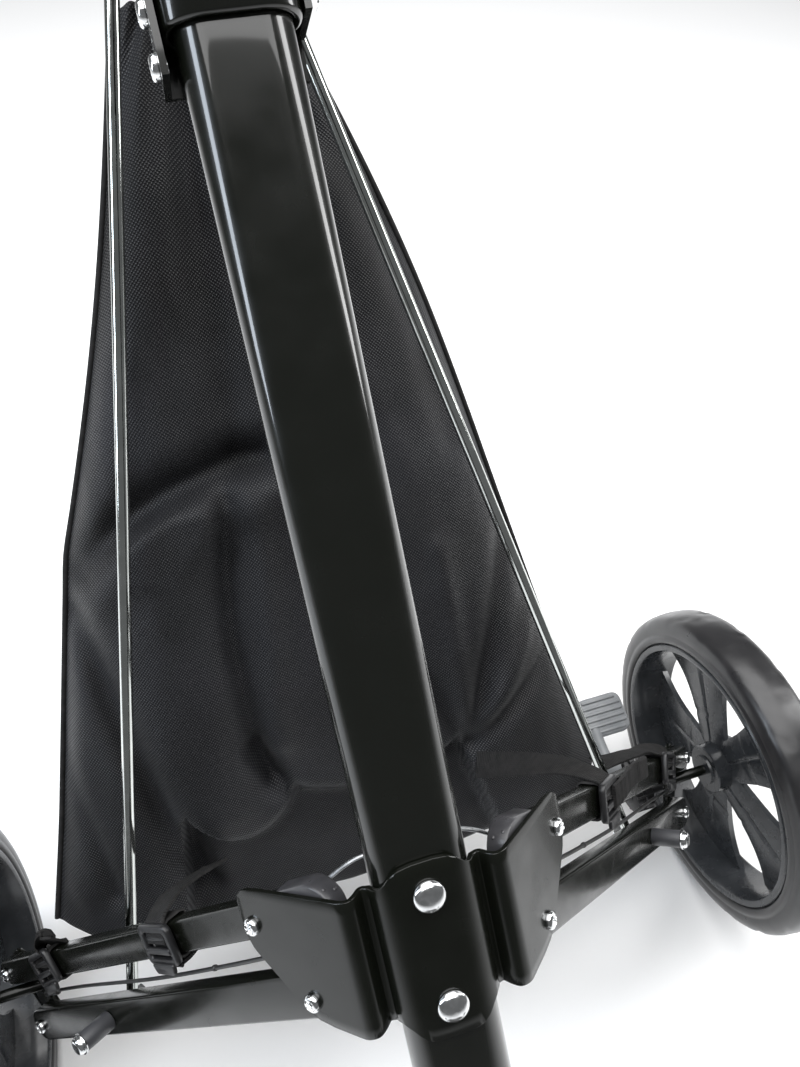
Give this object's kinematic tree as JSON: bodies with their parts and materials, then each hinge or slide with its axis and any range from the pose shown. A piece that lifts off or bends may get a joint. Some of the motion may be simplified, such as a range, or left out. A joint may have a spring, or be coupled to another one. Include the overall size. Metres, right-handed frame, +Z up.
{
  "type": "golf push cart",
  "caption": "Folding golf push cart: one inclined oval tube, swept parallel-bar rear legs, spoked wheels, strut rods and a black nylon bag slung behind the tube.",
  "frame": {"origin": "middle of the whole cart's box, on the floor", "axes": "+X across the cart to the side with the brake pedal, +Y to the rear where the golfer walks, +Z up"},
  "size_m": [0.7342, 1.0932, 1.055],
  "materials": {
    "black_paint": "gloss black powder coat",
    "black_chrome": "dark bright-plated rod",
    "bright_chrome": "bright chrome fastener",
    "zinc_steel": "zinc-plated steel",
    "black_plastic": "moulded black plastic",
    "grey_plastic": "moulded charcoal plastic",
    "tyre_rubber": "smooth charcoal foam tyre",
    "grip_foam": "black foam grip",
    "bag_nylon": "black woven nylon",
    "strap_webbing": "black webbing"
  },
  "bodies": {
    "cart_frame": {"main_tube": "black_paint", "tube_end_plug": "black_plastic", "center_bracket": "black_paint", "bracket_bolt_upper": "bright_chrome", "bracket_bolt_lower": "bright_chrome", "right_upper_pivot_bolt": "bright_chrome", "right_lower_pivot_bolt": "bright_chrome", "left_upper_pivot_bolt": "bright_chrome", "left_lower_pivot_bolt": "bright_chrome", "right_fork_arm": "black_paint", "left_fork_arm": "black_paint", "front_axle": "bright_chrome", "hinge_base": "black_plastic", "lower_cradle": "black_plastic", "brake_cable_crossing": "zinc_steel"},
    "sliding_collar": {"collar": "black_paint", "strut_bracket": "black_paint", "collar_bolt_upper": "bright_chrome", "collar_bolt_lower": "bright_chrome", "storage_bag": "bag_nylon"},
    "right_upper_link": {"right_upper_bar": "black_paint", "right_upper_bar_cap": "black_plastic", "right_inner_strap": "strap_webbing", "right_outer_strap": "strap_webbing"},
    "right_lower_link": {"right_lower_bar": "black_paint", "right_strut_bolt": "zinc_steel"},
    "right_strut_rod": {"right_strut": "black_chrome"},
    "right_hub": {"right_hub_bracket": "black_paint", "right_hub_bolt_upper": "bright_chrome", "right_hub_bolt_lower": "bright_chrome", "right_hub_cap": "black_plastic", "right_brake_housing": "black_plastic"},
    "right_wheel": {"right_rim": "grey_plastic", "right_tire": "tyre_rubber"},
    "right_cable": {"right_brake_cable": "zinc_steel"},
    "left_upper_link": {"left_upper_bar": "black_paint", "left_upper_bar_cap": "black_plastic", "left_inner_strap": "strap_webbing", "left_outer_strap": "strap_webbing"},
    "left_lower_link": {"left_lower_bar": "black_paint", "left_strut_bolt": "zinc_steel"},
    "left_strut_rod": {"left_strut": "black_chrome"},
    "left_hub": {"left_hub_bracket": "black_paint", "left_hub_bolt_upper": "bright_chrome", "left_hub_bolt_lower": "bright_chrome", "left_hub_cap": "black_plastic"},
    "left_wheel": {"left_rim": "grey_plastic", "left_tire": "tyre_rubber"},
    "left_cable": {"left_brake_cable": "zinc_steel"},
    "brake_lever": {"brake_pedal": "grey_plastic"},
    "front_wheel": {"front_rim": "grey_plastic", "front_tire": "tyre_rubber"},
    "handle_assembly": {"upper_tube": "black_paint", "hinge_pin": "black_plastic", "upper_cradle": "black_plastic", "handle_bar": "black_paint", "right_grip": "grip_foam", "left_grip": "grip_foam"}
  },
  "joints": [
    {"name": "right_leg_fold", "type": "hinge", "parent": "cart_frame", "child": "right_lower_link", "pos_m": [0.05814, -0.04863, 0.39418], "axis": [-0.7431, 0.4973, -0.4477], "range_deg": [0, 50]},
    {"name": "right_upper_link_fold", "type": "hinge", "parent": "cart_frame", "child": "right_upper_link", "pos_m": [0.07982, -0.00665, 0.40482], "axis": [-0.7431, 0.4973, -0.4477], "range_deg": [0, 50]},
    {"name": "right_hub_level", "type": "hinge", "parent": "right_lower_link", "child": "right_hub", "pos_m": [0.27355, 0.0443, 0.13986], "axis": [-0.7431, 0.4973, -0.4477], "range_deg": [-50, 0]},
    {"name": "right_strut_swing", "type": "hinge", "parent": "right_lower_link", "child": "right_strut_rod", "pos_m": [0.19298, 0.02017, 0.21776], "axis": [-0.7431, 0.4973, -0.4477], "range_deg": [-38.2, 0]},
    {"name": "right_cable_fold", "type": "hinge", "parent": "cart_frame", "child": "right_cable", "pos_m": [0.06898, -0.02764, 0.3995], "axis": [-0.7431, 0.4973, -0.4477], "range_deg": [0, 50]},
    {"name": "right_wheel_spin", "type": "hinge", "parent": "right_hub", "child": "right_wheel", "pos_m": [0.3277, 0.07041, 0.14584], "axis": [1, 0, 0], "continuous": true},
    {"name": "left_leg_fold", "type": "hinge", "parent": "cart_frame", "child": "left_lower_link", "pos_m": [-0.05814, -0.04863, 0.39418], "axis": [-0.7431, -0.4973, 0.4477], "range_deg": [0, 50]},
    {"name": "left_upper_link_fold", "type": "hinge", "parent": "cart_frame", "child": "left_upper_link", "pos_m": [-0.07982, -0.00665, 0.40482], "axis": [-0.7431, -0.4973, 0.4477], "range_deg": [0, 50]},
    {"name": "left_hub_level", "type": "hinge", "parent": "left_lower_link", "child": "left_hub", "pos_m": [-0.27355, 0.0443, 0.13986], "axis": [-0.7431, -0.4973, 0.4477], "range_deg": [-50, 0]},
    {"name": "left_strut_swing", "type": "hinge", "parent": "left_lower_link", "child": "left_strut_rod", "pos_m": [-0.19298, 0.02017, 0.21776], "axis": [-0.7431, -0.4973, 0.4477], "range_deg": [-38.2, 0]},
    {"name": "left_cable_fold", "type": "hinge", "parent": "cart_frame", "child": "left_cable", "pos_m": [-0.06898, -0.02764, 0.3995], "axis": [-0.7431, -0.4973, 0.4477], "range_deg": [0, 50]},
    {"name": "left_wheel_spin", "type": "hinge", "parent": "left_hub", "child": "left_wheel", "pos_m": [-0.3277, 0.07041, 0.14584], "axis": [1, 0, 0], "continuous": true},
    {"name": "collar_slide", "type": "slide", "parent": "cart_frame", "child": "sliding_collar", "axis": [0, -0.6691, -0.7431], "range_m": [0, 0.115], "deforming": ["storage_bag"]},
    {"name": "brake_press", "type": "hinge", "parent": "right_hub", "child": "brake_lever", "pos_m": [0.233, 0.09741, 0.14584], "axis": [-1, 0, 0], "range_deg": [0, 16]},
    {"name": "handle_fold", "type": "hinge", "parent": "cart_frame", "child": "handle_assembly", "pos_m": [0, 0.33039, 0.88531], "axis": [1, 0, 0], "range_deg": [0, 170]},
    {"name": "front_wheel_spin", "type": "hinge", "parent": "cart_frame", "child": "front_wheel", "pos_m": [0, -0.42681, 0.11984], "axis": [1, 0, 0], "continuous": true}
  ],
  "couplings": [
    {"joint": "right_upper_link_fold", "follows": "right_leg_fold", "ratio": 1},
    {"joint": "right_hub_level", "follows": "right_leg_fold", "ratio": -1},
    {"joint": "right_strut_swing", "follows": "right_leg_fold", "ratio": -0.76069},
    {"joint": "right_cable_fold", "follows": "right_leg_fold", "ratio": 1},
    {"joint": "left_leg_fold", "follows": "right_leg_fold", "ratio": 1},
    {"joint": "left_upper_link_fold", "follows": "right_leg_fold", "ratio": 1},
    {"joint": "left_hub_level", "follows": "right_leg_fold", "ratio": -1},
    {"joint": "left_strut_swing", "follows": "right_leg_fold", "ratio": -0.76069},
    {"joint": "left_cable_fold", "follows": "right_leg_fold", "ratio": 1},
    {"joint": "collar_slide", "follows": "right_leg_fold", "m_per_rad": 0.1312}
  ]
}
